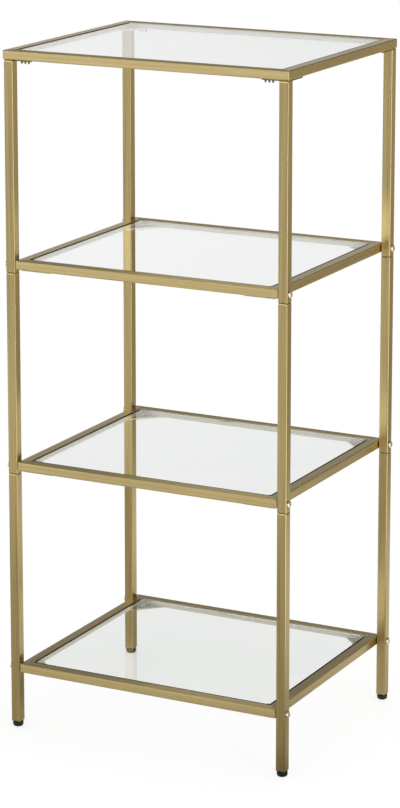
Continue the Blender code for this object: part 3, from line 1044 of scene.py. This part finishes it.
def painted_floor_light_and_shade(tree, place):
    """Painted light and shade on the floor, seen only by metal and glass: bands from the front to
    the back, a painted dip to the right, and a painted bright strip that the posts' edges reflect."""
    front = dot(tree, place, FRONT_REFLECTION)
    edge = dot(tree, place, EDGE_REFLECTION)
    distance = math_node(tree, "ABSOLUTE", front, 0.0)
    turn = math_node(tree, "DIVIDE", edge, math_node(tree, "ADD", distance, FLOOR_TURN_EASE))
    dip = ramp(tree, turn, FLOOR_TURNS, FLOOR_BY_TURN)
    bands = ramp(tree, front, FLOOR_REACH, FLOOR_BY_FRONT)
    base = add_node(tree, "ShaderNodeVectorMath", {0: bands, "Scale": dip}, operation="SCALE")
    flare = math_node(tree, "MULTIPLY", edge, STRIP_FLARE)
    across = share_between(tree, math_node(tree, "SUBTRACT", distance, flare), *STRIP_ACROSS)
    along = share_between(tree, edge, *STRIP_ALONG)
    strip = math_node(tree, "MULTIPLY", across, along)
    return mix(tree, "VECTOR", strip, base.outputs["Vector"], STRIP_LEVEL)


def make_floor():
    """White to the camera, keeping the rack's shadow. Metal sees painted light and shade on it, in
    place of a studio floor's uneven lighting."""
    disc = lathe([(FLOOR_RADIUS, -FLOOR_DEPTH), (FLOOR_RADIUS, 0)], FLOOR_SIDES)
    floor = plain_object("floor", disc)
    material, tree, shader = start_material("floor_white")
    tree.nodes.remove(shader)
    paint = add_node(tree, "ShaderNodeBsdfDiffuse", {"Color": FLOOR_PAINT}).outputs["BSDF"]
    glow = add_node(tree, "ShaderNodeEmission", {"Strength": FLOOR_GLOW}).outputs["Emission"]
    lit = add_node(tree, "ShaderNodeAddShader", {0: paint, 1: glow}).outputs["Shader"]
    white = add_node(tree, "ShaderNodeEmission", {"Strength": 1.0}).outputs["Emission"]
    place = tree.nodes.new("ShaderNodeTexCoord").outputs["Object"]
    far = add_node(tree, "ShaderNodeVectorMath", {0: place}, operation="LENGTH").outputs["Value"]
    fade = share_between(tree, far, *FLOOR_FADE, interpolation_type="SMOOTHSTEP")
    shown = mix_shaders(tree, fade, lit, white)
    # metal and glass see painted light and shade on the floor
    reflected = add_node(tree, "ShaderNodeEmission", {"Color": painted_floor_light_and_shade(tree, place)})
    surface = mix_shaders(tree, reflected_only(tree), shown, reflected.outputs["Emission"])
    set_inputs(tree, tree.nodes["Material Output"], {"Surface": surface})
    floor.data.materials.append(material)


def aim(direction):
    """The rotation of a lamp or a camera that points along a direction."""
    return direction.to_track_quat("-Z", "Y").to_euler()


def make_lamp():
    light = bpy.data.lights.new("key", "AREA")
    light.shape = "RECTANGLE"
    light.size, light.size_y = KEY_SIZE
    light.energy = KEY_RADIANCE * math.pi * KEY_SIZE[0] * KEY_SIZE[1]
    item = bpy.data.objects.new("key", light)
    item.location = KEY_PLACE
    item.rotation_euler = aim(Vector(KEY_TARGET) - Vector(KEY_PLACE))
    bpy.context.scene.collection.objects.link(item)


def make_camera():
    right = Vector((math.cos(CAMERA_YAW), math.sin(CAMERA_YAW), 0))
    forward = Vector((-math.sin(CAMERA_YAW), math.cos(CAMERA_YAW), 0))
    up = Vector(UP)
    data = bpy.data.cameras.new("camera")
    data.lens = CAMERA_LENS
    data.sensor_width = CAMERA_SENSOR
    data.shift_x, data.shift_y = CAMERA_SHIFT
    camera = bpy.data.objects.new("camera", data)
    camera.location = right * CAMERA_SIDE + up * CAMERA_HEIGHT - forward * CAMERA_DISTANCE
    camera.rotation_euler = aim(forward * math.cos(CAMERA_PITCH) - up * math.sin(CAMERA_PITCH))
    bpy.context.scene.collection.objects.link(camera)
    bpy.context.scene.camera = camera


def main():
    # the rails along X get the brighter copy of the gold: painted light
    rail_x = brushed("gold_rail_x_painted_light")
    rail_y = brushed("gold_rail_y")
    post = brushed("gold_post")
    plate = mottled("gold_plate")
    # a dark copy of the gold: painted shade on the teeth and the top gussets' outer edges
    teeth = mottled("gold_teeth_painted_shade")
    # a pale copy of the gold for the rails' inner faces: painted light
    inner = mottled("gold_rail_inner_painted_light")
    bolt = mottled("bolt_gold")
    glass = clear_glass()
    edge = glass_edge()
    silicone = mottled("pad_silicone")
    for level in LEVELS:
        make_frame(level, (rail_x, rail_y, inner, plate, teeth))
        make_glass(level, glass, edge)
    make_posts(post)
    make_bolts(bolt)
    make_pads(silicone)
    make_feet(mottled("foot_plastic"), mottled("stud_zinc"))
    make_world()
    make_floor()
    make_lamp()
    make_camera()
    bpy.context.scene.view_settings.view_transform = "Standard"


main()
